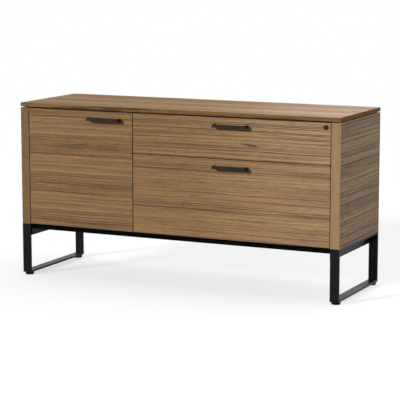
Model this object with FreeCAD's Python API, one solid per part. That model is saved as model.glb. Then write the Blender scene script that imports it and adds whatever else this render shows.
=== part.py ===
"""Multifunction storage cabinet on two flat-bar leg frames.

Units are millimetres and +Z is up. The origin lies on the floor under the middle of the
cabinet with its pulls: +X runs to the right, +Y to the back. Every piece is one solid, or a
group of equal solids, and is written to parts/ under its own name.
"""
import FreeCAD
import Part
import math
import os

# Overall sizes
cabinet_width = 1435.0
case_depth = 457.0
overall_height = 737.0
body_underside_height = 222.0

# Panels of the case
side_thickness = 38.0
top_thickness = 16.0
panel_thickness = 19.0
back_thickness = 6.0
back_setback = 8.0
back_groove_depth = 5.0
back_groove_clearance = 0.2
reveal_height = 4.5
reveal_setback = 12.0
divider_centre_from_left = 530.5

# Fronts
front_thickness = 19.0
front_gap = 3.0
front_edge_gap = 1.5
front_rear_clearance = 2.0
upper_front_height = 164.0
front_edge_radius = 1.0

# Shelf and its pins
shelf_thickness = 19.0
shelf_side_clearance = 0.8
shelf_front_setback = 25.0
shelf_rear_clearance = 4.0
pin_hole_diameter = 5.2
pin_hole_depth = 10.0
pin_hole_pitch = 32.0
pin_holes_per_row = 5
pin_row_setback = 37.0
pin_diameter = 5.0
pin_length_in_hole = 8.0
pin_head_diameter = 7.0
pin_head_length = 8.0

# Dowels that join the panels
dowel_diameter = 8.0
dowel_hole_clearance = 0.1
dowel_length = 30.0
dowel_end_share = 0.5
dowel_setback = 60.0

# Bar pulls
pull_length = 148.0
pull_height = 12.7
pull_projection = 28.0
pull_grip_thickness = 7.0
pull_leg_thickness = 9.0
pull_corner_radius = 3.5
pull_inner_radius = 2.0
pull_drop = 25.5
drawer_pull_offset = 9.0
door_pull_end_gap = 53.5
pull_screw_diameter = 4.0
pull_screw_clearance = 0.25
pull_screw_engagement = 9.0
pull_screw_head_diameter = 8.5
pull_screw_head_height = 2.4

# Drawer boxes
box_side_thickness = 12.0
box_bottom_thickness = 6.0
box_bottom_rise = 7.0
box_groove_depth = 6.0
box_groove_clearance = 0.15
box_length = 406.0
upper_box_floor_gap = 13.0
upper_box_lock_gap = 7.0
file_box_floor_gap = 8.0
file_box_top_gap = 44.0

# Hanging-file rails in the deep drawer
file_rail_end_gap = 34.0
file_rail_thickness = 3.0
file_rail_height = 14.0
file_rail_clearance = 0.3

# Drawer slides
slide_space = 12.7
slide_height = 45.0
slide_length = 400.0
slide_sheet = 1.2
slide_running_gap = 0.4
slide_setback = 2.0
slide_outer_lip = 9.0
slide_middle_offset = 2.0
slide_middle_lip = 8.6
slide_inner_lip = 8.0

# Lock in the upper drawer front
lock_from_right = 20.0
lock_below_front_top = 18.5
lock_head_diameter = 19.0
lock_head_height = 3.0
lock_body_diameter = 16.0
lock_body_clearance = 0.3
lock_body_reach = 11.0
lock_nut_width = 24.0
lock_nut_thickness = 4.0
lock_plug_diameter = 12.0
lock_plug_clearance = 0.08
lock_plug_proud = 0.6
lock_keyway_width = 1.6
lock_keyway_height = 8.0
lock_keyway_depth = 8.0
lock_cam_length = 17.5
lock_cam_width = 12.0
lock_cam_thickness = 2.5
lock_cam_gap = 0.3
lock_tail_size = 6.0
lock_tail_clearance = 0.05
lock_screw_diameter = 3.0
lock_screw_head_diameter = 7.0
lock_screw_head_height = 2.0
lock_screw_engagement = 6.0
lock_notch_side_gap = 2.0
lock_notch_top_gap = 1.0
lock_slot_gap = 1.2

# Leg frames
leg_bar_width = 38.0
leg_bar_thickness = 8.0
leg_frame_floor_gap = 11.0
rail_web_setback = 34.0
rail_web_thickness = 8.0
rail_web_drop = 49.0
crossbar_setback = 30.0
crossbar_height = 25.0
crossbar_flange = 25.0
crossbar_thickness = 4.0

# Screws of the leg frames
frame_screw_diameter = 5.0
frame_screw_clearance = 0.2
frame_screw_length = 38.0
crossbar_screw_length = 16.0
frame_screw_head_diameter = 10.0
frame_screw_head_height = 3.0
frame_screw_end_setback = 60.0
crossbar_screw_spacing = 450.0

# Screws that hold the top slab
top_screw_diameter = 4.0
top_screw_length = 34.0
top_screw_head_diameter = 8.0
top_screw_head_height = 2.5
top_screw_side_setback = 110.0
top_screw_end_setback = 70.0

# Levelling feet
foot_diameter = 36.0
foot_setback = 20.5
foot_edge_bevel = 1.6
foot_running_gap = 0.3
foot_stem_diameter = 8.0
foot_stem_clearance = 0.05
foot_stem_above_bar = 4.0

# Concealed hinges of the door
hinge_end_setback = 92.0
hinge_cup_diameter = 35.0
hinge_cup_depth = 12.0
hinge_cup_setback = 22.5
hinge_cup_wall = 1.2
hinge_cup_clearance = 0.1
hinge_flange_length = 60.0
hinge_flange_width = 24.0
hinge_flange_thickness = 1.2
hinge_plate_thickness = 4.0
hinge_plate_height = 40.0
hinge_plate_length = 36.0
hinge_plate_setback = 37.0
hinge_arm_height = 15.0
hinge_arm_thickness = 8.0
hinge_arm_taper = 8.0
hinge_fork_width = 4.8
hinge_fork_depth = 8.0
hinge_pivot_from_side = 4.0
hinge_pivot_from_door = 3.0
hinge_pin_diameter = 2.0
hinge_pin_clearance = 0.1
hinge_link_eye = 4.4
hinge_link_thickness = 2.2
hinge_link_height = 9.0
hinge_link_gap = 0.3
hinge_link_rise = 9.0
hinge_link_bow_start = 17.5
hinge_link_bow_end = 36.0
hinge_link_reach = 39.5
hinge_link_elbow_rise = 3.3
hinge_link_tip_reach = 33.3
hinge_link_tip_drop = 5.4

# Bumpers behind the fronts
bumper_diameter = 9.0
bumper_thickness = 1.7
bumper_edge_distance = 9.5

# One overrun serves all cuts that run past a face
cut_overrun = 1.0

# Places worked out from the sizes above
front_y = pull_projection - (case_depth + pull_projection) / 2
back_y = front_y + case_depth
case_right = cabinet_width / 2
case_left = -case_right
inner_right = case_right - side_thickness
inner_left = -inner_right
top_underside = overall_height - top_thickness
body_top = top_underside - reveal_height
body_bottom = body_underside_height
bottom_top = body_bottom + panel_thickness
sub_top_underside = body_top - panel_thickness
front_rear_y = front_y + front_thickness
case_front_y = front_rear_y + front_rear_clearance
back_front_y = back_y - back_setback - back_thickness
divider_x = case_left + divider_centre_from_left
divider_left = divider_x - panel_thickness / 2
divider_right = divider_x + panel_thickness / 2

fronts_bottom = body_bottom + front_edge_gap
fronts_top = body_top - front_edge_gap
door_left = inner_left + front_gap
door_right = divider_x - front_gap / 2
drawer_left = divider_x + front_gap / 2
drawer_right = inner_right - front_gap
upper_front_bottom = fronts_top - upper_front_height
drawer_split_height = upper_front_bottom - front_gap / 2
file_front_top = drawer_split_height - front_gap / 2
drawer_pull_x = (drawer_left + drawer_right) / 2 + drawer_pull_offset
door_pull_x = door_right - door_pull_end_gap - pull_length / 2

lock_x = drawer_right - lock_from_right
lock_z = fronts_top - lock_below_front_top
lock_body_end_y = front_rear_y + lock_body_reach
lock_cam_y = lock_body_end_y + lock_cam_gap

box_left = divider_right + slide_space
box_right = inner_right - slide_space
box_front_y = front_rear_y
box_back_y = box_front_y + box_length
upper_box_bottom = drawer_split_height + upper_box_floor_gap
upper_box_top = lock_z - lock_cam_length - upper_box_lock_gap
file_box_bottom = bottom_top + file_box_floor_gap
file_box_top = drawer_split_height - file_box_top_gap
slide_front_y = case_front_y + slide_setback
upper_slide_z = (upper_box_bottom + upper_box_top) / 2
file_slide_z = (file_box_bottom + file_box_top) / 2

leg_bottom = leg_frame_floor_gap
top_bar_underside = body_bottom - leg_bar_thickness
rail_web_bottom = top_bar_underside - (rail_web_drop - leg_bar_thickness)
bottom_bar_top = leg_bottom + leg_bar_thickness
foot_x = case_right - leg_bar_width / 2
foot_front_y = front_y + foot_setback
foot_rear_y = back_y - foot_setback

hinge_low_z = fronts_bottom + hinge_end_setback
hinge_high_z = fronts_top - hinge_end_setback
pin_row_front_y = case_front_y + pin_row_setback
pin_row_rear_y = back_front_y - pin_row_setback
shelf_pin_z = (bottom_top + sub_top_underside) / 2
shelf_underside = shelf_pin_z + pin_head_diameter / 2
hinge_pivot_x = inner_left + hinge_pivot_from_side
hinge_pivot_y = front_rear_y + hinge_pivot_from_door

X_AXIS = FreeCAD.Vector(1, 0, 0)
Y_AXIS = FreeCAD.Vector(0, 1, 0)
Z_AXIS = FreeCAD.Vector(0, 0, 1)


# Helpers

def point(x, y, z):
    """A place in the cabinet's frame."""
    return FreeCAD.Vector(x, y, z)


def block(x_low, x_high, y_low, y_high, z_low, z_high):
    """Rectangular solid between two opposite corners."""
    return Part.makeBox(x_high - x_low, y_high - y_low, z_high - z_low, point(x_low, y_low, z_low))


def rod(diameter, length, start, direction):
    """Round bar that starts at a place and runs along a direction."""
    return Part.makeCylinder(diameter / 2, length, start, direction)


def outline_face(places):
    """Flat face inside a closed outline of straight edges."""
    return Part.Face(Part.makePolygon(list(places) + [places[0]]))


def hexagon(width, height, centre):
    """Upright hexagonal bar, measured across its flats."""
    corner_radius = width / 2 / math.cos(math.pi / 6)
    corners = []
    for corner in range(6):
        angle = corner * math.pi / 3
        offset = point(corner_radius * math.cos(angle), corner_radius * math.sin(angle), 0)
        corners.append(centre + offset)
    return outline_face(corners).extrude(Z_AXIS * height)


def bent_strip(places, thickness, height):
    """Flat strip on edge along a bent centre line, with round bends and ends."""
    parts = [rod(thickness, height, place, Z_AXIS) for place in places]
    for start, end in zip(places, places[1:]):
        sideways = Z_AXIS.cross(end - start).normalize() * (thickness / 2)
        corners = (start - sideways, end - sideways, end + sideways, start + sideways)
        parts.append(outline_face(corners).extrude(Z_AXIS * height))
    return parts[0].fuse(parts[1:]).removeSplitter()


def round_edges(solid, radius, direction):
    """Round the straight edges that run along one direction."""
    picked = []
    for edge in solid.Edges:
        run = edge.Vertexes[-1].Point - edge.Vertexes[0].Point
        if run.cross(direction).Length < radius:
            picked.append(edge)
    return solid.makeFillet(radius, picked)


def group(solids):
    """Equal pieces that share one node as separate solids."""
    return Part.makeCompound(list(solids))


def mirrored_left(solid):
    """The left-hand twin of a right-hand piece."""
    return solid.mirror(point(0, 0, 0), X_AXIS)


# Places that several pieces share

def pin_hole_heights():
    """Heights of one row of shelf-pin holes, centred on the pin in use."""
    middle = (pin_holes_per_row - 1) / 2
    return [shelf_pin_z + (hole - middle) * pin_hole_pitch for hole in range(pin_holes_per_row)]


def dowel_places():
    """Middle of each dowel and the side its panel end lies on."""
    places = []
    for y in (case_front_y + dowel_setback, back_front_y - dowel_setback):
        for z in (body_bottom + panel_thickness / 2, body_top - panel_thickness / 2):
            places.append((point(inner_left, y, z), X_AXIS))
            places.append((point(inner_right, y, z), X_AXIS))
        for z in (bottom_top, sub_top_underside):
            places.append((point(divider_x, y, z), Z_AXIS))
    return places


def dowel(diameter, length, middle, direction):
    """Dowel or dowel hole, half on each side of a joint."""
    return rod(diameter, length, middle - direction * (length * dowel_end_share), direction)


def dowel_holes():
    """All dowel holes as one cutting tool."""
    width = dowel_diameter + 2 * dowel_hole_clearance
    tools = []
    for middle, direction in dowel_places():
        reach = dowel_length_along(direction) + 2 * dowel_hole_clearance
        tools.append(dowel(width, reach, middle, direction))
    return group(tools)


def dowel_length_along(direction):
    """Dowels that stand upright stay inside the thinner panels."""
    return dowel_length if direction == X_AXIS else min(dowel_length, panel_thickness)


def frame_screw_places():
    """Undersides of the holes for the screws into the side panels and the bottom panel."""
    middle_y = (front_y + back_y) / 2
    side_rows = (front_y + frame_screw_end_setback, middle_y, back_y - frame_screw_end_setback)
    side_places = [point(side * foot_x, y, top_bar_underside) for side in (-1, 1) for y in side_rows]
    flange_z = body_bottom - crossbar_thickness
    bar_rows = (crossbar_screw_y(), front_y + back_y - crossbar_screw_y())
    bar_columns = (-crossbar_screw_spacing, 0, crossbar_screw_spacing)
    bar_places = [point(x, y, flange_z) for x in bar_columns for y in bar_rows]
    return side_places, bar_places


def crossbar_screw_y():
    """Middle of the front cross bar's flange, front to back."""
    return front_y + crossbar_setback + (crossbar_flange + crossbar_thickness) / 2


def frame_screw_holes():
    """All leg-frame screw holes as one cutting tool."""
    side_places, bar_places = frame_screw_places()
    width = frame_screw_diameter + 2 * frame_screw_clearance
    side_tools = [rod(width, frame_screw_length + cut_overrun, place, Z_AXIS) for place in side_places]
    bar_tools = [rod(width, crossbar_screw_length + cut_overrun, place, Z_AXIS) for place in bar_places]
    return group(side_tools + bar_tools)


def top_screw_places():
    """Places of the screws that pull the top slab down, on the underside of the panel below it."""
    first_column = inner_left + top_screw_end_setback
    columns = (first_column, divider_x + top_screw_end_setback, inner_right - top_screw_end_setback)
    rows = (case_front_y + top_screw_side_setback, back_front_y - top_screw_side_setback)
    return [point(x, y, sub_top_underside) for x in columns for y in rows]


def top_screw_holes():
    """Holes for the top screws as one cutting tool."""
    width = top_screw_diameter + 2 * frame_screw_clearance
    return group(rod(width, top_screw_length + cut_overrun, place, Z_AXIS) for place in top_screw_places())


# Case

def side_panel_right():
    """Thick side panel with its back groove, dowel holes and screw holes."""
    panel = block(inner_right, case_right, front_y, back_y, body_bottom, body_top)
    return panel.cut([back_groove(), dowel_holes(), frame_screw_holes()])


def side_panel_left():
    """Left side panel, which also carries a row of shelf-pin holes at the front and rear."""
    panel = block(case_left, inner_left, front_y, back_y, body_bottom, body_top)
    return panel.cut([back_groove(), dowel_holes(), frame_screw_holes(), pin_holes(inner_left, -1)])


def back_groove():
    """Space of the back panel, with its clearance, as a cutting tool."""
    reach = back_groove_depth + back_groove_clearance
    return block(
        inner_left - reach, inner_right + reach,
        back_front_y - back_groove_clearance, back_front_y + back_thickness + back_groove_clearance,
        bottom_top - reach, sub_top_underside + reach)


def pin_holes(face_x, side):
    """Rows of shelf-pin holes that go into a panel from one face."""
    direction = X_AXIS * side
    tools = []
    for y in (pin_row_front_y, pin_row_rear_y):
        for z in pin_hole_heights():
            tools.append(rod(pin_hole_diameter, pin_hole_depth, point(face_x, y, z), direction))
    return group(tools)


def bottom_panel():
    """Floor of both compartments."""
    panel = block(inner_left, inner_right, case_front_y, back_y, body_bottom, bottom_top)
    return panel.cut([back_groove(), dowel_holes(), frame_screw_holes()])


def sub_top_panel():
    """Panel under the spacer, notched for the lock and slotted for its cam."""
    panel = block(inner_left, inner_right, case_front_y, back_y, sub_top_underside, body_top)
    notch_half = lock_nut_width / 2 + lock_notch_side_gap
    notch = block(
        lock_x - notch_half, lock_x + notch_half, case_front_y - cut_overrun, lock_cam_y,
        sub_top_underside - cut_overrun, lock_z + lock_nut_width / 2 + lock_notch_top_gap)
    slot_half = lock_cam_length + lock_slot_gap
    slot_rear_y = lock_cam_y + lock_cam_thickness + lock_screw_head_height + lock_slot_gap
    slot = block(
        lock_x - slot_half, lock_x + slot_half, lock_cam_y - lock_slot_gap / 2, slot_rear_y,
        sub_top_underside - cut_overrun, lock_z + lock_cam_length + lock_slot_gap / 2)
    return panel.cut([back_groove(), dowel_holes(), top_screw_holes(), notch, slot])


def divider_panel():
    """Upright between the door's compartment and the drawers."""
    panel = block(divider_left, divider_right, case_front_y, back_front_y, bottom_top, sub_top_underside)
    return panel.cut([dowel_holes(), pin_holes(divider_left, 1)])


def back_panel():
    """Thin back, held in grooves all round."""
    return block(
        inner_left - back_groove_depth, inner_right + back_groove_depth,
        back_front_y, back_front_y + back_thickness,
        bottom_top - back_groove_depth, sub_top_underside + back_groove_depth)


def reveal_spacer():
    """Recessed board that makes the shadow line under the top slab."""
    board = block(
        case_left + reveal_setback, case_right - reveal_setback,
        front_y + reveal_setback, back_y - reveal_setback, body_top, top_underside)
    return board.cut(top_screw_holes())


def top_panel():
    """Top slab, flush with the sides and fronts."""
    slab = block(case_left, case_right, front_y, back_y, top_underside, overall_height)
    return slab.cut(top_screw_holes())


def panel_dowels():
    """Dowels between the panels."""
    dowels = []
    for middle, direction in dowel_places():
        dowels.append(dowel(dowel_diameter, dowel_length_along(direction), middle, direction))
    return group(dowels)


def shelf():
    """Adjustable shelf behind the door."""
    return block(
        inner_left + shelf_side_clearance, divider_left - shelf_side_clearance,
        case_front_y + shelf_front_setback, back_front_y - shelf_rear_clearance,
        shelf_underside, shelf_underside + shelf_thickness)


def shelf_pins():
    """Four pins with round heads that the shelf lies on."""
    pins = []
    for face_x, side in ((inner_left, -1), (divider_left, 1)):
        for y in (pin_row_front_y, pin_row_rear_y):
            start = point(face_x, y, shelf_pin_z)
            shank = rod(pin_diameter, pin_length_in_hole, start, X_AXIS * side)
            head = rod(pin_head_diameter, pin_head_length, start, X_AXIS * -side)
            pins.append(shank.fuse(head).removeSplitter())
    return group(pins)


def top_screws():
    """Screws up through the sub-top and the spacer into the top slab."""
    screws = []
    for place in top_screw_places():
        shank = rod(top_screw_diameter, top_screw_length, place, Z_AXIS)
        head_start = place - Z_AXIS * top_screw_head_height
        head = rod(top_screw_head_diameter, top_screw_head_height, head_start, Z_AXIS)
        screws.append(shank.fuse(head).removeSplitter())
    return group(screws)


# Leg frames

def leg_loop_right():
    """Closed loop of flat bar: two legs, a floor bar and a bar under the side panel."""
    left = case_right - leg_bar_width
    outer = block(left, case_right, front_y, back_y, leg_bottom, body_bottom)
    inner = block(
        left - cut_overrun, case_right + cut_overrun,
        front_y + leg_bar_thickness, back_y - leg_bar_thickness,
        bottom_bar_top, top_bar_underside)
    stem_width = foot_stem_diameter + 2 * foot_stem_clearance
    stem_holes = []
    for y in (foot_front_y, foot_rear_y):
        start = point(foot_x, y, leg_bottom - cut_overrun)
        stem_holes.append(rod(stem_width, leg_bar_thickness + 2 * cut_overrun, start, Z_AXIS))
    return outer.cut([inner, group(stem_holes), frame_screw_holes()])


def rail_web_right():
    """Upright web welded under the loop's top bar, from the front leg to the rear leg."""
    outer_face = case_right - rail_web_setback
    return block(
        outer_face - rail_web_thickness, outer_face,
        front_y + leg_bar_thickness, back_y - leg_bar_thickness, rail_web_bottom, top_bar_underside)


def crossbar_front():
    """Angle bar between the two webs, its flange screwed to the bottom panel."""
    half = case_right - rail_web_setback - rail_web_thickness
    low_y = front_y + crossbar_setback
    profile = outline_face((
        point(-half, low_y, body_bottom - crossbar_height),
        point(-half, low_y + crossbar_thickness, body_bottom - crossbar_height),
        point(-half, low_y + crossbar_thickness, body_bottom - crossbar_thickness),
        point(-half, low_y + crossbar_flange, body_bottom - crossbar_thickness),
        point(-half, low_y + crossbar_flange, body_bottom),
        point(-half, low_y, body_bottom)))
    return profile.extrude(X_AXIS * (2 * half)).cut(frame_screw_holes())


def crossbar_rear():
    """The same bar turned round behind the rear legs."""
    middle = point(0, (front_y + back_y) / 2, 0)
    return crossbar_front().mirror(middle, Y_AXIS)


def frame_screws():
    """Pan-head screws up into the side panels and the bottom panel."""
    side_places, bar_places = frame_screw_places()
    screws = []
    for places, length in ((side_places, frame_screw_length), (bar_places, crossbar_screw_length)):
        for place in places:
            shank = rod(frame_screw_diameter, length, place, Z_AXIS)
            head_start = place - Z_AXIS * frame_screw_head_height
            head = rod(frame_screw_head_diameter, frame_screw_head_height, head_start, Z_AXIS)
            screws.append(shank.fuse(head).removeSplitter())
    return group(screws)


def levelling_foot(side, y):
    """Screw-in foot: thick round base with its floor edge bevelled, and a threaded stem."""
    x = side * foot_x
    base_top = leg_bottom - foot_running_gap
    base = rod(foot_diameter, base_top, point(x, y, 0), Z_AXIS)
    floor_edges = [edge for edge in base.Edges if edge.CenterOfMass.z < foot_edge_bevel]
    base = base.makeChamfer(foot_edge_bevel, floor_edges)
    stem_top = bottom_bar_top + foot_stem_above_bar
    stem = rod(foot_stem_diameter, stem_top - base_top, point(x, y, base_top), Z_AXIS)
    return base.fuse(stem).removeSplitter()


# Pulls

def bar_pull(centre_x, top_z):
    """Flat bar bent to a bracket, with two legs that stand on the front."""
    half = pull_length / 2
    low_z = top_z - pull_height
    tip_y = front_y - pull_projection
    body = block(centre_x - half, centre_x + half, tip_y, front_y, low_z, top_z)
    corners = []
    for edge in body.Edges:
        middle = edge.CenterOfMass
        if abs(middle.y - tip_y) < cut_overrun and abs(middle.z - (low_z + top_z) / 2) < cut_overrun:
            corners.append(edge)
    body = body.makeFillet(pull_corner_radius, corners)
    space = block(
        centre_x - half + pull_leg_thickness, centre_x + half - pull_leg_thickness,
        tip_y + pull_grip_thickness, front_y + pull_inner_radius + cut_overrun,
        low_z - cut_overrun, top_z + cut_overrun)
    space = round_edges(space, pull_inner_radius, Z_AXIS)
    return body.cut([space, pull_screw_tool(centre_x, top_z)])


def pull_screw_columns(centre_x):
    """Places of a pull's two screws along its length."""
    reach = pull_length / 2 - pull_leg_thickness / 2
    return (centre_x - reach, centre_x + reach)


def pull_screw_tool(centre_x, top_z):
    """Tapped holes of a pull as one cutting tool."""
    z = top_z - pull_height / 2
    starts = [point(x, front_y + cut_overrun, z) for x in pull_screw_columns(centre_x)]
    depth = pull_screw_engagement + 2 * cut_overrun
    width = pull_screw_diameter + pull_screw_clearance
    return group(rod(width, depth, start, Y_AXIS * -1) for start in starts)


def pull_holes(centre_x, top_z, depth):
    """Clearance holes for a pull's screws through the front, as one cutting tool."""
    z = top_z - pull_height / 2
    starts = [point(x, front_y - cut_overrun, z) for x in pull_screw_columns(centre_x)]
    width = pull_screw_diameter + 2 * pull_screw_clearance
    return group(rod(width, depth + 2 * cut_overrun, start, Y_AXIS) for start in starts)


def pull_screws(centre_x, top_z, grip):
    """Two machine screws from behind, through a thickness of board, into the pull's legs."""
    z = top_z - pull_height / 2
    screws = []
    for x in pull_screw_columns(centre_x):
        head_face = point(x, front_y + grip, z)
        shank = rod(pull_screw_diameter, grip + pull_screw_engagement, head_face, Y_AXIS * -1)
        head = rod(pull_screw_head_diameter, pull_screw_head_height, head_face, Y_AXIS)
        screws.append(shank.fuse(head).removeSplitter())
    return group(screws)


# Fronts

def front_board(left, right, bottom, top):
    """Front panel with its four long face edges eased."""
    board = block(left, right, front_y, front_rear_y, bottom, top)
    face_edges = []
    for edge in board.Edges:
        if abs(edge.CenterOfMass.y - front_y) < front_edge_radius / 2:
            face_edges.append(edge)
    return board.makeFillet(front_edge_radius, face_edges)


def door_panel():
    """Left door, bored for its pull and its two hinge cups."""
    board = front_board(door_left, door_right, fronts_bottom, fronts_top)
    return board.cut([pull_holes(door_pull_x, fronts_top - pull_drop, front_thickness), hinge_cup_bores()])


def upper_drawer_front():
    """Shallow drawer front, bored for its pull and the lock."""
    board = front_board(drawer_left, drawer_right, upper_front_bottom, fronts_top)
    width = lock_body_diameter + 2 * lock_body_clearance
    start = point(lock_x, front_y - cut_overrun, lock_z)
    lock_bore = rod(width, front_thickness + 2 * cut_overrun, start, Y_AXIS)
    return board.cut([pull_holes(drawer_pull_x, fronts_top - pull_drop, front_thickness), lock_bore])


def file_drawer_front():
    """Deep drawer front, bored for its pull."""
    board = front_board(drawer_left, drawer_right, fronts_bottom, file_front_top)
    return board.cut(pull_holes(drawer_pull_x, file_front_top - pull_drop, front_thickness))


# Hinges

def hinge_cup_bores():
    """Blind bores for the hinge cups in the door's rear face, as one cutting tool."""
    width = hinge_cup_diameter + 2 * hinge_cup_clearance
    x = door_left + hinge_cup_setback
    depth = hinge_cup_depth + hinge_cup_clearance
    tools = []
    for z in (hinge_low_z, hinge_high_z):
        start = point(x, front_rear_y - depth, z)
        tools.append(rod(width, depth + cut_overrun, start, Y_AXIS))
    return group(tools)


def hinge_cups():
    """Pressed cups in the door, each with a flange on the rear face."""
    x = door_left + hinge_cup_setback
    cups = []
    for z in (hinge_low_z, hinge_high_z):
        start = point(x, front_rear_y - hinge_cup_depth, z)
        cup = rod(hinge_cup_diameter, hinge_cup_depth, start, Y_AXIS)
        flange = block(
            x - hinge_flange_width / 2, x + hinge_flange_width / 2,
            front_rear_y, front_rear_y + hinge_flange_thickness,
            z - hinge_flange_length / 2, z + hinge_flange_length / 2)
        bore_width = hinge_cup_diameter - 2 * hinge_cup_wall
        bore_start = start + Y_AXIS * hinge_cup_wall
        bore = rod(bore_width, hinge_cup_depth + cut_overrun, bore_start, Y_AXIS)
        cups.append(cup.fuse(flange).cut(bore).removeSplitter())
    return group(cups)


def hinge_pin_rods(width):
    """Bars of one diameter through the forks of both hinges, for the pins and their holes."""
    low = hinge_arm_height / 2
    starts = [point(hinge_pivot_x, hinge_pivot_y, z - low) for z in (hinge_low_z, hinge_high_z)]
    return group(rod(width, hinge_arm_height, start, Z_AXIS) for start in starts)


def hinge_arms():
    """Mounting plates on the side panel, each with an arm that ends in a fork for the link."""
    arms = []
    plate_low_y = case_front_y + hinge_plate_setback - hinge_plate_length / 2
    plate_high_y = plate_low_y + hinge_plate_length
    plate_face = inner_left + hinge_plate_thickness
    arm_face = plate_face + hinge_arm_thickness
    fork_half = hinge_fork_width / 2
    arm_places = (
        (plate_face, plate_high_y),
        (plate_face, plate_low_y),
        (hinge_pivot_x - fork_half, hinge_pivot_y),
        (hinge_pivot_x + fork_half, hinge_pivot_y),
        (arm_face, plate_low_y - hinge_arm_taper),
        (arm_face, plate_high_y))
    slot_half = hinge_link_height / 2 + hinge_link_gap
    for z in (hinge_low_z, hinge_high_z):
        plate = block(
            inner_left, plate_face, plate_low_y, plate_high_y,
            z - hinge_plate_height / 2, z + hinge_plate_height / 2)
        arm_low_z = z - hinge_arm_height / 2
        arm_profile = outline_face([point(x, y, arm_low_z) for x, y in arm_places])
        arm = arm_profile.extrude(Z_AXIS * hinge_arm_height)
        nose_start = point(hinge_pivot_x, hinge_pivot_y, arm_low_z)
        nose = rod(hinge_fork_width, hinge_arm_height, nose_start, Z_AXIS)
        slot = block(
            hinge_pivot_x - fork_half - cut_overrun, arm_face + cut_overrun,
            hinge_pivot_y - fork_half - cut_overrun, hinge_pivot_y + hinge_fork_depth,
            z - slot_half, z + slot_half)
        arms.append(plate.fuse([arm, nose]).removeSplitter().cut(slot))
    pin_holes_tool = hinge_pin_rods(hinge_pin_diameter + 2 * hinge_pin_clearance)
    return group(arm.cut(pin_holes_tool) for arm in arms)


def hinge_links():
    """Bent links that reach from the forks round the door's edge into the cups."""
    bends = (
        (0, 0),
        (hinge_link_bow_start, hinge_link_rise),
        (hinge_link_bow_end, hinge_link_rise),
        (hinge_link_reach, hinge_link_elbow_rise),
        (hinge_link_tip_reach, -hinge_link_tip_drop))
    bore = hinge_pin_rods(hinge_pin_diameter + 2 * hinge_pin_clearance)
    links = []
    for z in (hinge_low_z, hinge_high_z):
        low_z = z - hinge_link_height / 2
        places = [point(hinge_pivot_x + x, hinge_pivot_y + y, low_z) for x, y in bends]
        eye = rod(hinge_link_eye, hinge_link_height, places[0], Z_AXIS)
        link = bent_strip(places, hinge_link_thickness, hinge_link_height)
        links.append(link.fuse(eye).removeSplitter().cut(bore))
    return group(links)


# Drawer boxes

def box_floor_groove(bottom, floor_clearance):
    """Space of a drawer's floor, with its clearance, between the box's outer faces."""
    low = bottom + box_bottom_rise - floor_clearance
    reach = box_side_thickness - box_groove_depth - floor_clearance
    return block(
        box_left + reach, box_right - reach,
        box_front_y + reach, box_back_y - reach,
        low, low + box_bottom_thickness + 2 * floor_clearance)


def box_side(left, bottom, top):
    """One side of a drawer box, grooved for the floor."""
    side = block(left, left + box_side_thickness, box_front_y, box_back_y, bottom, top)
    return side.cut(box_floor_groove(bottom, box_groove_clearance))


def box_end(front, bottom, top):
    """Inner front or back of a drawer box, between its sides."""
    end = block(
        box_left + box_side_thickness, box_right - box_side_thickness,
        front, front + box_side_thickness, bottom, top)
    return end.cut(box_floor_groove(bottom, box_groove_clearance))


def file_rail_rows():
    """Front faces of the two hanging-file rails."""
    end_reach = box_side_thickness + file_rail_end_gap
    return (box_front_y + end_reach, box_back_y - end_reach - file_rail_thickness)


def file_rail_slots():
    """Slots in the tops of the deep drawer's sides, as one cutting tool."""
    tools = []
    for y in file_rail_rows():
        tools.append(block(
            box_left - cut_overrun, box_right + cut_overrun,
            y - file_rail_clearance, y + file_rail_thickness + file_rail_clearance,
            file_box_top - file_rail_height, file_box_top + cut_overrun))
    return group(tools)


def file_box_side(left):
    """Side of the deep drawer, slotted for the rails."""
    return box_side(left, file_box_bottom, file_box_top).cut(file_rail_slots())


def file_rails():
    """Two flat steel rails across the deep drawer, seated in slots."""
    rails = []
    for y in file_rail_rows():
        rails.append(block(
            box_left, box_right, y, y + file_rail_thickness,
            file_box_top - file_rail_height, file_box_top))
    return group(rails)


# Slides

def slide_pair(make_member, centre_z):
    """The right-hand and left-hand member of one drawer, mirrored about the drawer's middle."""
    right = make_member(centre_z)
    middle = point((divider_right + inner_right) / 2, 0, 0)
    return group((right, right.mirror(middle, X_AXIS)))


def slide_channel(web_x, web_side, lip, half_height, centre_z):
    """Channel of sheet metal: an upright web with a lip above and below."""
    low_x = min(web_x, web_x + web_side * lip)
    high_x = max(web_x, web_x + web_side * lip)
    outer = block(
        low_x, high_x, slide_front_y, slide_front_y + slide_length,
        centre_z - half_height, centre_z + half_height)
    hollow_low = low_x + slide_sheet if web_side > 0 else low_x - cut_overrun
    hollow_high = high_x + cut_overrun if web_side > 0 else high_x - slide_sheet
    hollow = block(
        hollow_low, hollow_high,
        slide_front_y - cut_overrun, slide_front_y + slide_length + cut_overrun,
        centre_z - half_height + slide_sheet, centre_z + half_height - slide_sheet)
    return outer.cut(hollow)


def slide_outer(centre_z):
    """Member screwed to the side panel."""
    return slide_channel(inner_right, -1, slide_outer_lip, slide_height / 2, centre_z)


def slide_middle(centre_z):
    """Member that runs between the other two."""
    half = slide_height / 2 - slide_sheet - slide_running_gap
    return slide_channel(inner_right - slide_middle_offset, -1, slide_middle_lip, half, centre_z)


def slide_inner(centre_z):
    """Member screwed to the drawer's side."""
    half = slide_height / 2 - 2 * (slide_sheet + slide_running_gap)
    return slide_channel(inner_right - slide_space, 1, slide_inner_lip, half, centre_z)


# Lock

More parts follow.
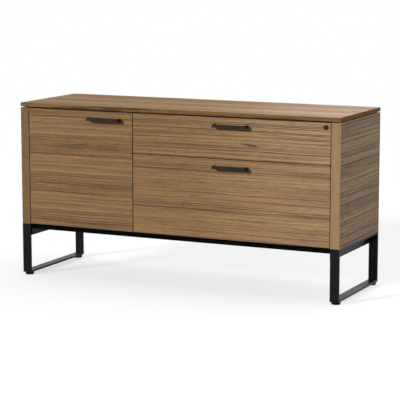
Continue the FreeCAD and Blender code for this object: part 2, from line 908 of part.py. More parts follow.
def lock_housing():
    """Housing with a round head in front and a long body through the drawer front."""
    head = rod(lock_head_diameter, lock_head_height, point(lock_x, front_y, lock_z), Y_AXIS * -1)
    body_length = front_thickness + lock_body_reach
    body = rod(lock_body_diameter, body_length, point(lock_x, front_y, lock_z), Y_AXIS)
    bore_width = lock_plug_diameter + 2 * lock_plug_clearance
    bore_start = point(lock_x, front_y - lock_head_height - cut_overrun, lock_z)
    bore = rod(bore_width, body_length + lock_head_height + 2 * cut_overrun, bore_start, Y_AXIS)
    return head.fuse(body).removeSplitter().cut(bore)


def lock_nut():
    """Hexagonal nut that clamps the housing to the drawer front."""
    nut = hexagon(lock_nut_width, lock_nut_thickness, point(0, 0, 0))
    nut.rotate(point(0, 0, 0), X_AXIS, -90)
    nut.translate(point(lock_x, front_rear_y, lock_z))
    start = point(lock_x, front_rear_y - cut_overrun, lock_z)
    return nut.cut(rod(lock_body_diameter, lock_nut_thickness + 2 * cut_overrun, start, Y_AXIS))


def lock_plug():
    """Turning plug with its keyway in front and a square tail for the cam."""
    face_y = front_y - lock_head_height - lock_plug_proud
    plug = rod(lock_plug_diameter, lock_body_end_y - face_y, point(lock_x, face_y, lock_z), Y_AXIS)
    keyway = block(
        lock_x - lock_keyway_width / 2, lock_x + lock_keyway_width / 2,
        face_y - cut_overrun, face_y + lock_keyway_depth,
        lock_z - lock_keyway_height / 2, lock_z + lock_keyway_height / 2)
    half = lock_tail_size / 2
    tail = block(
        lock_x - half, lock_x + half, lock_body_end_y, lock_cam_y + lock_cam_thickness,
        lock_z - half, lock_z + half)
    screw_start = point(lock_x, lock_cam_y + lock_cam_thickness - lock_screw_engagement, lock_z)
    screw_hole = rod(lock_screw_diameter, lock_screw_engagement + cut_overrun, screw_start, Y_AXIS)
    return plug.fuse(tail).cut([keyway, screw_hole])


def lock_cam():
    """Flat cam with round ends on the tail, hanging down while the drawer is unlocked."""
    end_radius = lock_cam_width / 2
    end_z = lock_z - lock_cam_length + end_radius
    hub = rod(lock_cam_width, lock_cam_thickness, point(lock_x, lock_cam_y, lock_z), Y_AXIS)
    tip = rod(lock_cam_width, lock_cam_thickness, point(lock_x, lock_cam_y, end_z), Y_AXIS)
    arm = block(
        lock_x - end_radius, lock_x + end_radius, lock_cam_y, lock_cam_y + lock_cam_thickness,
        end_z, lock_z)
    half = lock_tail_size / 2 + lock_tail_clearance
    tail_hole = block(
        lock_x - half, lock_x + half,
        lock_cam_y - cut_overrun, lock_cam_y + lock_cam_thickness + cut_overrun,
        lock_z - half, lock_z + half)
    return hub.fuse([tip, arm]).removeSplitter().cut(tail_hole)


def lock_cam_screw():
    """Screw that keeps the cam on the tail."""
    face = point(lock_x, lock_cam_y + lock_cam_thickness, lock_z)
    head = rod(lock_screw_head_diameter, lock_screw_head_height, face, Y_AXIS)
    shank = rod(lock_screw_diameter, lock_screw_engagement, face, Y_AXIS * -1)
    return head.fuse(shank).removeSplitter()


# Bumpers

def bumper(x, z):
    """Round buffer stuck to the rear of a front."""
    return rod(bumper_diameter, bumper_thickness, point(x, front_rear_y, z), Y_AXIS)


def door_bumpers():
    """Buffers at the free corners of the door, which meet the divider's front edge."""
    x = door_right - bumper_edge_distance + front_gap
    heights = (bottom_top + bumper_edge_distance, sub_top_underside - bumper_edge_distance)
    return group(bumper(x, z) for z in heights)


# Every piece by its node name

box_right_side = box_right - box_side_thickness
box_rear = box_back_y - box_side_thickness
upper_pull_z = fronts_top - pull_drop
file_pull_z = file_front_top - pull_drop

pieces = {
    "side_panel_left": side_panel_left(),
    "side_panel_right": side_panel_right(),
    "bottom_panel": bottom_panel(),
    "sub_top_panel": sub_top_panel(),
    "divider_panel": divider_panel(),
    "back_panel": back_panel(),
    "reveal_spacer": reveal_spacer(),
    "top_panel": top_panel(),
    "panel_dowels": panel_dowels(),
    "shelf": shelf(),
    "shelf_pins": shelf_pins(),
    "top_screws": top_screws(),
    "leg_loop_right": leg_loop_right(),
    "leg_loop_left": mirrored_left(leg_loop_right()),
    "rail_web_right": rail_web_right(),
    "rail_web_left": mirrored_left(rail_web_right()),
    "crossbar_front": crossbar_front(),
    "crossbar_rear": crossbar_rear(),
    "frame_screws": frame_screws(),
    "foot_front_left": levelling_foot(-1, foot_front_y),
    "foot_front_right": levelling_foot(1, foot_front_y),
    "foot_rear_left": levelling_foot(-1, foot_rear_y),
    "foot_rear_right": levelling_foot(1, foot_rear_y),
    "hinge_arms": hinge_arms(),
    "hinge_pins": hinge_pin_rods(hinge_pin_diameter),
    "hinge_links": hinge_links(),
    "door_panel": door_panel(),
    "door_pull": bar_pull(door_pull_x, upper_pull_z),
    "door_pull_screws": pull_screws(door_pull_x, upper_pull_z, front_thickness),
    "door_hinge_cups": hinge_cups(),
    "door_bumpers": door_bumpers(),
    "upper_drawer_front": upper_drawer_front(),
    "upper_drawer_side_left": box_side(box_left, upper_box_bottom, upper_box_top),
    "upper_drawer_side_right": box_side(box_right_side, upper_box_bottom, upper_box_top),
    "upper_drawer_inner_front": box_end(box_front_y, upper_box_bottom, upper_box_top),
    "upper_drawer_back": box_end(box_rear, upper_box_bottom, upper_box_top),
    "upper_drawer_floor": box_floor_groove(upper_box_bottom, 0),
    "upper_drawer_pull": bar_pull(drawer_pull_x, upper_pull_z),
    "upper_drawer_pull_screws": pull_screws(drawer_pull_x, upper_pull_z, front_thickness),
    "file_drawer_front": file_drawer_front(),
    "file_drawer_side_left": file_box_side(box_left),
    "file_drawer_side_right": file_box_side(box_right_side),
    "file_drawer_inner_front": box_end(box_front_y, file_box_bottom, file_box_top),
    "file_drawer_back": box_end(box_rear, file_box_bottom, file_box_top),
    "file_drawer_floor": box_floor_groove(file_box_bottom, 0),
    "file_drawer_pull": bar_pull(drawer_pull_x, file_pull_z),
    "file_drawer_pull_screws": pull_screws(drawer_pull_x, file_pull_z, front_thickness),
    "file_drawer_rails": file_rails(),
    "upper_slide_outers": slide_pair(slide_outer, upper_slide_z),
    "upper_slide_middles": slide_pair(slide_middle, upper_slide_z),
    "upper_slide_inners": slide_pair(slide_inner, upper_slide_z),
    "file_slide_outers": slide_pair(slide_outer, file_slide_z),
    "file_slide_middles": slide_pair(slide_middle, file_slide_z),
    "file_slide_inners": slide_pair(slide_inner, file_slide_z),
    "lock_housing": lock_housing(),
    "lock_nut": lock_nut(),
    "lock_plug": lock_plug(),
    "lock_cam": lock_cam(),
    "lock_cam_screw": lock_cam_screw(),
}

os.makedirs("parts", exist_ok=True)
for node_name, shape in pieces.items():
    shape.exportStep("parts/" + node_name + ".step")
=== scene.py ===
"""Looks of the multifunction cabinet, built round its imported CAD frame.

Everything is in metres, in the frame of the CAD: +X to the right, +Y to the back, +Z up, with
the origin on the floor under the middle of the cabinet.
"""
import logging
import math
from dataclasses import dataclass, field
from enum import Enum
from functools import partial
from typing import Any

import bpy
from mathutils import Euler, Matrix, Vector


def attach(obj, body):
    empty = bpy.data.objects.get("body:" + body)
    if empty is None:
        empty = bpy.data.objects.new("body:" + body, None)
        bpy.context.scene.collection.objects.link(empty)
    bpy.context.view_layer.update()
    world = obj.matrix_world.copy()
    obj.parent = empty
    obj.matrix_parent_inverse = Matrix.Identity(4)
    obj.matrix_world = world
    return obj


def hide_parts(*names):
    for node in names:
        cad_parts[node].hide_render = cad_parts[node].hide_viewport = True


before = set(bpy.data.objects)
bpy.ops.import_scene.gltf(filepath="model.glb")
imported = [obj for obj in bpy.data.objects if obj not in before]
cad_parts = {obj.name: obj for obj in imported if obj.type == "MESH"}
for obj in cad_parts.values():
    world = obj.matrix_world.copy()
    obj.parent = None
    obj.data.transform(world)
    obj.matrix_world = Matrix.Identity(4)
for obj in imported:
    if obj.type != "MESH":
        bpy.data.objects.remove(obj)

Material = bpy.types.Material
Node = bpy.types.Node
Socket = bpy.types.NodeSocket
Tree = bpy.types.NodeTree
Span = tuple[float, float]
Point = tuple[float, float, float]

LOG = logging.getLogger("cabinet")
MM = 0.001
UNIT: Span = (0.0, 1.0)
WHITE = (1.0, 1.0, 1.0, 1.0)
# A face looks along an axis where its normal has more than this share of the axis
FACING = 0.7


# Small helpers


def linear(hex_code: str) -> tuple[float, float, float, float]:
    """Turn an sRGB hex colour into linear RGBA, with the numbers of the sRGB standard.

    Args:
        hex_code: Colour such as "#8A6A4A".

    Returns:
        Linear red, green, blue and an alpha of 1.
    """
    parts = [int(hex_code[start:start + 2], 16) / 255 for start in (1, 3, 5)]
    red, green, blue = [p / 12.92 if p <= 0.04045 else ((p + 0.055) / 1.055) ** 2.4 for p in parts]
    return red, green, blue, 1.0


def add(tree: Tree, kind: str, inputs: dict[Any, Any] | None = None, **settings: Any) -> Node:
    """Add one node, set its properties and fill or link its inputs.

    Args:
        tree: Node tree that gets the node.
        kind: Blender's name of the node type.
        inputs: Value or output socket for each input, by its name, identifier or number.
        settings: Properties of the node.

    Returns:
        The new node.
    """
    made = tree.nodes.new(kind)
    for name, value in settings.items():
        setattr(made, name, value)
    for key, value in (inputs or {}).items():
        known = {socket.identifier: socket for socket in made.inputs}
        socket = made.inputs[key] if isinstance(key, int) else known.get(key) or made.inputs[key]
        if isinstance(value, Socket):
            tree.links.new(value, socket)
        else:
            socket.default_value = value
    return made


def maths(tree: Tree, operation: str, *values: Any) -> Socket:
    """One Math node's result."""
    return add(tree, "ShaderNodeMath", dict(enumerate(values)), operation=operation).outputs[0]


def split(tree: Tree, vector: Socket) -> Any:
    """The X, Y and Z of a vector."""
    return add(tree, "ShaderNodeSeparateXYZ", {0: vector}).outputs


def join(tree: Tree, *parts: Any) -> Socket:
    """A vector of two or three numbers or sockets."""
    return add(tree, "ShaderNodeCombineXYZ", dict(enumerate(parts))).outputs[0]


def mix_numbers(tree: Tree, share: Socket, first: Any, second: Any) -> Socket:
    """A mix of two numbers, with so much of the second."""
    return add(tree, "ShaderNodeMix", {0: share, 2: first, 3: second}).outputs[0]


def mix_colours(tree: Tree, share: Socket, first: Any, second: Any) -> Socket:
    """A mix of two colours, with so much of the second."""
    return add(tree, "ShaderNodeMix", {0: share, 6: first, 7: second}, data_type="RGBA").outputs[2]


def remap(
        tree: Tree, value: Socket, source: Span = UNIT, target: Span = UNIT,
        smooth: bool = False) -> Socket:
    """Carry a value from one span to another, held at both ends.

    Args:
        tree: Node tree that gets the node.
        value: Socket with the value.
        source: Span that it is taken from.
        target: Span that it is carried to.
        smooth: Whether it leaves and reaches the ends slowly.

    Returns:
        The carried value.
    """
    numbers = dict(enumerate((value, *source, *target)))
    kind = "SMOOTHSTEP" if smooth else "LINEAR"
    return add(tree, "ShaderNodeMapRange", numbers, interpolation_type=kind).outputs[0]


def noise(tree: Tree, place: Socket, scale: float, detail: float, roughness: float = 0.5) -> Socket:
    """One noise texture's value."""
    sizes = {"Vector": place, "Scale": scale, "Detail": detail, "Roughness": roughness}
    return add(tree, "ShaderNodeTexNoise", sizes).outputs[0]


def ramp(tree: Tree, factor: Socket, stops: Span, low: str, high: str) -> Socket:
    """Colour a factor.

    Args:
        tree: Node tree that gets the ramp.
        factor: Socket with the factor.
        stops: Where the low and the high colour lie.
        low: Hex colour of a low factor.
        high: Hex colour of a high factor.

    Returns:
        The colour.
    """
    made = add(tree, "ShaderNodeValToRGB", {"Fac": factor})
    for element, place, colour in zip(made.color_ramp.elements, stops, (low, high)):
        element.position = place
        element.color = linear(colour)
    return made.outputs["Color"]


def new_material(name: str) -> Material:
    """Make an empty node material.

    Args:
        name: Name of the real finish.

    Returns:
        The material, with its node tree cleared.
    """
    material = bpy.data.materials.new(name)
    material.use_nodes = True
    material.node_tree.nodes.clear()
    return material


def dress(material: Material, *nodes: str) -> None:
    """Give CAD nodes a material by their slots.

    Args:
        material: The finish.
        nodes: Names of the CAD nodes.
    """
    for name in nodes:
        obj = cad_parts[name]
        if not obj.material_slots:
            obj.data.materials.append(material)
        for slot in obj.material_slots:
            slot.material = material
    LOG.info("%s on %s", material.name, ", ".join(nodes))


def show(obj: bpy.types.Object) -> bpy.types.Object:
    """Link an object to the scene and give it back."""
    bpy.context.scene.collection.objects.link(obj)
    return obj


# Finishes


class Axis(Enum):
    """Axis of the object's frame, as the socket's number on Separate XYZ."""

    X = 0
    Y = 1
    Z = 2


class Cut(Enum):
    """How a board lies: the axes along its grain, across its grain and through it."""

    FRONT = (Axis.X, Axis.Z, Axis.Y)
    SIDE = (Axis.Y, Axis.Z, Axis.X)
    FLAT = (Axis.X, Axis.Y, Axis.Z)

    def of(self, parts: Any) -> list[Socket]:
        """The parts of a vector in the order along, across and through."""
        return [parts[axis.value] for axis in self.value]


@dataclass(frozen=True)
class Clouds:
    """One noise of the figure, with so many features per metre along and across the grain.

    The shift is its place in the noise's fourth direction, and the reach is the part of its
    range that is spread over 0 to 1.
    """

    along: float
    across: float
    shift: float
    detail: float
    roughness: float
    reach: Span = UNIT


@dataclass(frozen=True)
class Ladder:
    """So many rungs across each leaf, bent by the broad bands.

    The seed step sets the rungs' random numbers apart from those of another seed.
    """

    rungs: float
    seed_step: float
    bend: float = 0.0


@dataclass(frozen=True)
class Figure:
    """Figure of sliced walnut.

    The slicing gives long dark growth lines in groups, which repeat from leaf to leaf. Lines are
    placed and sized in shares of their rung. A place, width, gap or share that is a pair holds
    the least value that a random number gives, and how much the number adds.
    """

    leaf_width: float = 0.158
    seed_strip: float = 7.31
    seed_drift: float = 3.7
    leaf_drift: float = 0.10
    wander_along: float = 2.2
    wander_across: float = 5.0

    # Bands of 70 mm, streaks of 22 mm, hair lines of 5 mm, and flecks 28 mm long
    bands: Clouds = Clouds(0.3, 14.0, 0.0, 2.0, 0.5, (0.36, 0.64))
    streaks: Clouds = Clouds(0.8, 46.0, 3.7, 2.0, 0.8, (0.38, 0.54))
    hairs: Clouds = Clouds(2.6, 190.0, 33.0, 2.0, 0.8, (0.40, 0.50))
    flecks: Clouds = Clouds(36.0, 190.0, 47.0, 2.0, 0.6, (0.36, 0.52))
    streak_weight: float = 0.14
    hair_weight: float = 0.56
    fleck_weight: float = 0.24
    part_middle: float = 0.6
    tone_middle: float = 0.5

    # Fine growth lines 6 mm apart, each with its own strength, width and place
    rim: float = 0.6
    fine: Ladder = Ladder(26.0, 5.13)
    fine_place: Span = (0.3, 0.4)
    fine_width: Span = (0.18, 0.16)
    fine_reach: Span = (0.5, 0.85)
    fine_share: Span = (0.12, 0.75)
    fine_groups: Clouds = Clouds(0.3, 26.0, 15.3, 1.0, 0.5, (0.44, 0.56))
    fine_group_share: Span = (0.6, 0.4)
    fine_breaks: Clouds = Clouds(1.2, 60.0, 21.0, 3.0, 0.6, (0.30, 0.46))

    # Strong growth lines about 32 mm apart, 3 mm wide and mostly in pairs
    strong: Ladder = Ladder(5.0, 3.71)
    strong_place: Span = (0.15, 0.45)
    strong_gap: Span = (0.18, 0.14)
    first_width: float = 0.065
    second_width: float = 0.055
    second_share: float = 0.8
    strong_reach: Span = (0.25, 0.6)
    strong_share: Span = (0.2, 0.75)
    strong_breaks: Clouds = Clouds(1.6, 30.0, 63.0, 2.0, 0.6, (0.36, 0.50))

    # Growth rings about 14 mm apart: each darkens slowly and ends in a sharp step back to light
    rings: Ladder = Ladder(11.0, 4.37, 6.0)
    ring_middle: float = 0.33
    ring_share: Span = (0.3, 0.8)
    ring_weight: float = 0.7

    # Dark dashes of 40 to 80 mm by about 3 mm, and open pores of 12 to 30 mm by about 1 mm, both
    # drawn wider than real ones so that they show
    dashes: Clouds = Clouds(14.0, 210.0, 27.0, 2.0, 0.55, (0.60, 0.70))
    pores: Clouds = Clouds(42.0, 640.0, 31.0, 2.0, 0.55, (0.60, 0.70))
    dash_share: float = 0.55

    # Patches between olive and reddish
    slow_hue: Clouds = Clouds(0.6, 14.0, 40.0, 2.0, 0.5)
    quick_hue: Clouds = Clouds(1.5, 85.0, 52.0, 1.0, 0.5)
    hue_reach: Span = (0.85, 1.15)

    def build(self) -> Tree:
        """Build the node group that all veneers share.

        Returns:
            Group with the inputs Along, Across, Depth, Wander and Leaf width in metres, Seed, and
            Bands, the weight of the broad bands. Its outputs are Tone (0 dark to 1 light), Hue
            (0 olive to 1 reddish), Line (1 on a dark growth line) and Pore.
        """
        tree = bpy.data.node_groups.new("sliced_walnut_figure", "ShaderNodeTree")
        new_socket = partial(tree.interface.new_socket, socket_type="NodeSocketFloat")
        for name in ("Along", "Across", "Depth", "Seed", "Wander", "Bands"):
            new_socket(name, in_out="INPUT")
        new_socket("Leaf width", in_out="INPUT").default_value = self.leaf_width
        for name in ("Tone", "Hue", "Line", "Pore"):
            new_socket(name, in_out="OUTPUT")
        given = add(tree, "NodeGroupInput").outputs
        sums = partial(maths, tree)
        stretch = partial(remap, tree, smooth=True)

        # The grain wanders by a few millimetres over half a metre
        seed = sums("MULTIPLY", given["Seed"], self.seed_strip)
        wander_at = join(
            tree, sums("MULTIPLY", given["Along"], self.wander_along),
            sums("MULTIPLY", given["Across"], self.wander_across), seed)
        wander = sums("SUBTRACT", noise(tree, wander_at, 1.0, 2.0), 0.5)
        wander = sums("MULTIPLY", wander, given["Wander"])
        across = sums("ADD", sums("ADD", given["Across"], wander), given["Depth"])

        # Slip-matched leaves: the figure goes once round a circle per leaf, so it repeats without
        # a seam, and drifts a little from each leaf to the next
        strip = sums("ADD", sums("DIVIDE", across, given["Leaf width"]), seed)
        turn = sums("MULTIPLY", strip, math.tau)
        circle = sums("COSINE", turn), sums("SINE", turn)
        drift = sums("MULTIPLY", given["Seed"], self.seed_drift)
        drift = sums("MULTIPLY_ADD", strip, self.leaf_drift, drift)

        def clouds(kind: Clouds) -> Socket:
            """Draw one noise round the leaf's circle.

            Args:
                kind: Sizes of the noise.

            Returns:
                The noise's value.
            """
            radius = sums("MULTIPLY", given["Leaf width"], kind.across / math.tau)
            place = [sums("MULTIPLY", radius, side) for side in circle]
            sizes = {
                "Vector": join(tree, sums("MULTIPLY", given["Along"], kind.along), *place),
                "W": sums("ADD", drift, kind.shift),
                "Scale": 1.0, "Detail": kind.detail, "Roughness": kind.roughness}
            return add(tree, "ShaderNodeTexNoise", sizes, noise_dimensions="4D").outputs[0]

        def spread(kind: Clouds) -> Socket:
            """One noise with its reach spread over 0 to 1."""
            return stretch(clouds(kind), kind.reach)

        def vary(number: Socket, pair: Span) -> Socket:
            """The least value of a pair, and a random number's share of what it adds."""
            return sums("MULTIPLY_ADD", number, pair[1], pair[0])

        def climb(ladder: Ladder) -> tuple[Socket, ...]:
            """Set out a ladder's rungs.

            Args:
                ladder: Sizes of the ladder.

            Returns:
                The place on a rung, from 0 to 1, and three random numbers for each rung.
            """
            bend = sums("MULTIPLY", bands, ladder.bend)
            height = sums("MULTIPLY_ADD", sums("FRACT", strip), ladder.rungs, bend)
            rung = sums("MULTIPLY_ADD", given["Seed"], ladder.seed_step, sums("FLOOR", height))
            chance = add(tree, "ShaderNodeTexWhiteNoise", {"W": rung}, noise_dimensions="1D")
            numbers = add(tree, "ShaderNodeSeparateColor", {0: chance.outputs["Color"]}).outputs
            return sums("FRACT", height), *numbers

        def thin(place: Socket, centre: Socket, half_width: Any) -> Socket:
            """1 on a line round a centre, with a narrow soft rim."""
            away = sums("DIVIDE", sums("ABSOLUTE", sums("SUBTRACT", place, centre)), half_width)
            return sums("SUBTRACT", 1.0, stretch(away, (self.rim, 1.0)))

        bands = clouds(self.bands)

        place, strength, width, offset = climb(self.fine)
        fine = thin(place, vary(offset, self.fine_place), vary(width, self.fine_width))
        share = vary(stretch(strength, self.fine_reach), self.fine_share)
        share = sums("MULTIPLY", share, vary(spread(self.fine_groups), self.fine_group_share))
        fine = sums("MULTIPLY", sums("MULTIPLY", fine, spread(self.fine_breaks)), share)

        place, strength, gap, offset = climb(self.strong)
        centre = vary(offset, self.strong_place)
        first = thin(place, centre, self.first_width)
        second = thin(place, sums("ADD", centre, vary(gap, self.strong_gap)), self.second_width)
        strong = sums("MAXIMUM", first, sums("MULTIPLY", second, self.second_share))
        share = vary(spread(self.strong_breaks), self.strong_share)
        share = sums("MULTIPLY", stretch(strength, self.strong_reach), share)
        line = sums("MAXIMUM", fine, sums("MULTIPLY", strong, share))
        dashes = sums("MULTIPLY", spread(self.dashes), self.dash_share)
        line = sums("MAXIMUM", line, dashes)

        place, strength, *_ = climb(self.rings)
        ring = sums("SUBTRACT", sums("MULTIPLY", place, place), self.ring_middle)
        ring = sums("MULTIPLY", ring, vary(strength, self.ring_share))

        tone = self.tone_middle
        for part, weight in (
                (stretch(bands, self.bands.reach), given["Bands"]),
                (spread(self.streaks), self.streak_weight),
                (spread(self.hairs), self.hair_weight),
                (spread(self.flecks), self.fleck_weight)):
            part = sums("SUBTRACT", part, self.part_middle)
            tone = sums("ADD", tone, sums("MULTIPLY", part, weight))
        tone = sums("SUBTRACT", tone, sums("MULTIPLY", ring, self.ring_weight))
        hue = stretch(sums("ADD", clouds(self.slow_hue), clouds(self.quick_hue)), self.hue_reach)
        pores = spread(self.pores)
        add(tree, "NodeGroupOutput", {"Tone": tone, "Hue": hue, "Line": line, "Pore": pores})
        return tree


@dataclass(frozen=True)
class Finish:
    """One finish. Each kind draws the values of its own shader."""

    name: str

    def draw(self, tree: Tree) -> dict[str, Any]:
        """Values or sockets for the inputs of a Principled shader."""
        raise NotImplementedError

    def material(self) -> Material:
        """Build the material.

        Returns:
            The finished material.
        """
        material = new_material(self.name)
        tree = material.node_tree
        shader = add(tree, "ShaderNodeBsdfPrincipled", self.draw(tree))
        add(tree, "ShaderNodeOutputMaterial", {"Surface": shader.outputs[0]})
        return material


@dataclass(frozen=True)
class Relief:
    """Fine relief of a surface: its strength and its depth."""

    strength: float
    depth_mm: float

    def draw(self, tree: Tree, height: Socket) -> Socket:
        """The surface's normal over a height from 0 to 1."""
        sizes = {"Strength": self.strength, "Distance": self.depth_mm * MM, "Height": height}
        return add(tree, "ShaderNodeBump", sizes).outputs[0]


@dataclass(frozen=True)
class Mark:
    """A dark burr mark with a ragged rim, about 100 mm long and 5 mm high, that falls to the right.

    Along and across are its place on the board. Its rim lies between two distances from the
    middle, counted in its half sizes and with what the ragged noise adds.
    """

    along: float
    across: float
    half_length: float = 0.052
    half_height: float = 0.0042
    turn: float = -0.11
    ragged_scale: float = 2.4
    ragged_depth: float = 1.8
    rim: Span = (2.1, 1.4)
    strength: float = 0.95

    def draw(self, tree: Tree, along: Socket, across: Socket) -> Socket:
        """Draw the mark.

        Args:
            tree: Node tree of the material.
            along: Place along the grain.
            across: Place across the grain.

        Returns:
            The share of the dark colour.
        """
        local = add(tree, "ShaderNodeMapping", {
            "Vector": join(tree, along, across), "Location": (self.along, self.across, 0.0),
            "Rotation": (0.0, 0.0, self.turn),
            "Scale": (self.half_length, self.half_height, 1.0)}, vector_type="TEXTURE").outputs[0]
        ragged = noise(tree, local, self.ragged_scale, 2.0)
        away = add(tree, "ShaderNodeVectorMath", {0: local}, operation="LENGTH").outputs["Value"]
        away = maths(tree, "MULTIPLY_ADD", ragged, self.ragged_depth, away)
        return remap(tree, away, self.rim, (0.0, self.strength))


@dataclass(frozen=True)
class Veneer(Finish):
    """Sliced walnut veneer under a satin lacquer with a low, blurred shine.

    The seed and the start say which part of the log the cut shows. The gain and saturation are
    painted light and shade, set for how light falls on the broad face, and the edges have their
    own share of both, as painted shade or painted light on the edge strips. The broad face also
    gets a painted sheen, paler and greyer towards the right end. An end that cuts the grain has a
    calmer strip of veneer, with the grain along the strip.
    """

    figure: Tree
    cut: Cut
    seed: float
    start: float = 0.0
    wander: float = 0.012
    bands: float = 0.12
    line_strength: float = 0.8
    tone_strength: float = 0.95
    hue_strength: float = 0.36
    pore_strength: float = 0.35
    end_strength: float = 0.35
    depth_share: float = 0.35
    light: str = "#9C7D54"
    dark: str = "#63482E"
    reddish: str = "#8C6748"
    line: str = "#35251A"
    # Painted light and shade by face, and a painted sheen towards the right
    gain: float = 1.0
    saturation: float = 1.0
    edge_gain: float = 1.0
    edge_saturation: float = 1.0
    paler_right: float = 0.0
    sheen_greyer_share: float = 0.33
    right_end: Span = (-0.1, 0.7)
    roughness: float = 0.48
    dark_rougher: float = 0.08
    specular: float = 0.12
    refraction: float = 1.5
    tone_height: float = 0.4
    relief: Relief = Relief(0.25, 0.2)
    mark: Mark | None = None

    def draw(self, tree: Tree) -> dict[str, Any]:
        """Draw the veneer.

        Args:
            tree: Node tree of the material.

        Returns:
            Values and sockets for the shader's inputs.
        """
        sums = partial(maths, tree)
        coordinates = add(tree, "ShaderNodeTexCoord").outputs
        xyz = split(tree, coordinates["Object"])
        along, across, depth = self.cut.of(xyz)
        facing_along, _, facing_depth = self.cut.of(split(tree, coordinates["Normal"]))
        end, broad = [
            sums("GREATER_THAN", sums("ABSOLUTE", part), FACING)
            for part in (facing_along, facing_depth)]

        # Painted sheen: the broad face grows a little paler and greyer towards the right end
        sheen_to_right = remap(tree, xyz[Axis.X.value], self.right_end, smooth=True)
        sheen_to_right = sums("MULTIPLY", sheen_to_right, broad)
        paler = self.gain * (1 + self.paler_right)
        greyer = self.saturation * (1 - self.sheen_greyer_share * self.paler_right)
        gain = remap(tree, sheen_to_right, target=(self.gain, paler))
        # Painted light and shade: the edges get their own brightness and saturation
        gain = sums("MULTIPLY", gain, remap(tree, broad, target=(self.edge_gain, 1.0)))
        saturation = remap(tree, sheen_to_right, target=(self.saturation, greyer))
        edge_saturation = remap(tree, broad, target=(self.edge_saturation, 1.0))
        saturation = sums("MULTIPLY", saturation, edge_saturation)

        along = mix_numbers(tree, end, along, across)
        across = mix_numbers(tree, end, across, depth)
        calm = remap(tree, end, target=(1.0, self.end_strength))
        drawn = add(tree, "ShaderNodeGroup", {
            "Along": along, "Across": across,
            "Depth": sums("MULTIPLY_ADD", depth, self.depth_share, self.start),
            "Seed": self.seed, "Wander": self.wander, "Bands": self.bands},
            node_tree=self.figure).outputs

        strength = sums("MULTIPLY", calm, self.tone_strength)
        tone = sums("MULTIPLY_ADD", sums("SUBTRACT", drawn["Tone"], 0.5), strength, 0.5)
        colour = ramp(tree, tone, UNIT, self.dark, self.light)
        hue = sums("MULTIPLY", drawn["Hue"], self.hue_strength)
        colour = mix_colours(tree, hue, colour, linear(self.reddish))
        line = sums("MULTIPLY", sums("MULTIPLY", drawn["Line"], self.line_strength), calm)
        if self.mark:
            line = sums("MAXIMUM", line, self.mark.draw(tree, along, across))
        for share in (line, sums("MULTIPLY", drawn["Pore"], self.pore_strength)):
            colour = mix_colours(tree, share, colour, linear(self.line))
        colour = add(tree, "ShaderNodeHueSaturation", {
            "Saturation": saturation, "Value": gain, "Color": colour}).outputs[0]

        rough = self.roughness + self.dark_rougher, self.roughness
        height = sums("MULTIPLY", drawn["Pore"], -1.0)
        height = sums("MULTIPLY_ADD", drawn["Tone"], self.tone_height, height)
        return {
            "Base Color": colour, "Roughness": remap(tree, drawn["Tone"], target=rough),
            "IOR": self.refraction, "Specular IOR Level": self.specular,
            "Normal": self.relief.draw(tree, height)}


@dataclass(frozen=True)
class PowderCoat(Finish):
    """Thermoset powder coat on steel: a fine pebbled skin with a broad, weak shine."""

    colour: str
    worn: str
    roughness: float
    specular: float = 0.5
    pebble_mm: float = 0.9
    relief: Relief = Relief(0.4, 0.03)
    patches_per_metre: float = 14.0
    worn_reach: Span = (0.35, 0.7)
    rough_reach: Span = (0.3, 0.7)
    uneven: float = 0.03

    def draw(self, tree: Tree) -> dict[str, Any]:
        """Draw the coat.

        Args:
            tree: Node tree of the material.

        Returns:
            Values and sockets for the shader's inputs.
        """
        place = add(tree, "ShaderNodeTexCoord").outputs["Object"]
        pebbles = noise(tree, place, 1 / (self.pebble_mm * MM), 1.0)
        patches = noise(tree, place, self.patches_per_metre, 3.0)
        worn = remap(tree, patches, self.worn_reach)
        rough = self.roughness - self.uneven, self.roughness + self.uneven
        return {
            "Base Color": ramp(tree, worn, UNIT, self.colour, self.worn),
            "Roughness": remap(tree, patches, self.rough_reach, rough),
            "Specular IOR Level": self.specular, "Normal": self.relief.draw(tree, pebbles)}


@dataclass(frozen=True)
class PlatedSteel(Finish):
    """Rolled steel sheet or wire with a bright zinc plating, faintly brushed along one axis."""

    along: Axis
    colour: str = "#B9BABA"
    stain: str = "#98999A"
    roughness: float = 0.32
    brush_mm: float = 0.5
    brush_ratio: float = 30.0
    smoother: float = 0.08
    rougher: float = 0.12
    patches_per_metre: float = 60.0
    stain_reach: Span = (0.3, 0.7)
    relief: Relief = Relief(0.15, 0.05)

    def draw(self, tree: Tree) -> dict[str, Any]:
        """Draw the plating.

        Args:
            tree: Node tree of the material.

        Returns:
            Values and sockets for the shader's inputs.
        """
        place = add(tree, "ShaderNodeTexCoord").outputs["Object"]
        fine = 1 / (self.brush_mm * MM)
        scale = [fine / self.brush_ratio if axis is self.along else fine for axis in Axis]
        brushed = add(tree, "ShaderNodeMapping", {"Vector": place, "Scale": scale}).outputs[0]
        lines = noise(tree, brushed, 1.0, 2.0)
        patches = noise(tree, place, self.patches_per_metre, 3.0)
        rough = self.roughness - self.smoother, self.roughness + self.rougher
        return {
            "Base Color": ramp(tree, patches, self.stain_reach, self.stain, self.colour),
            "Metallic": 1.0, "Roughness": remap(tree, lines, target=rough),
            "Normal": self.relief.draw(tree, lines)}


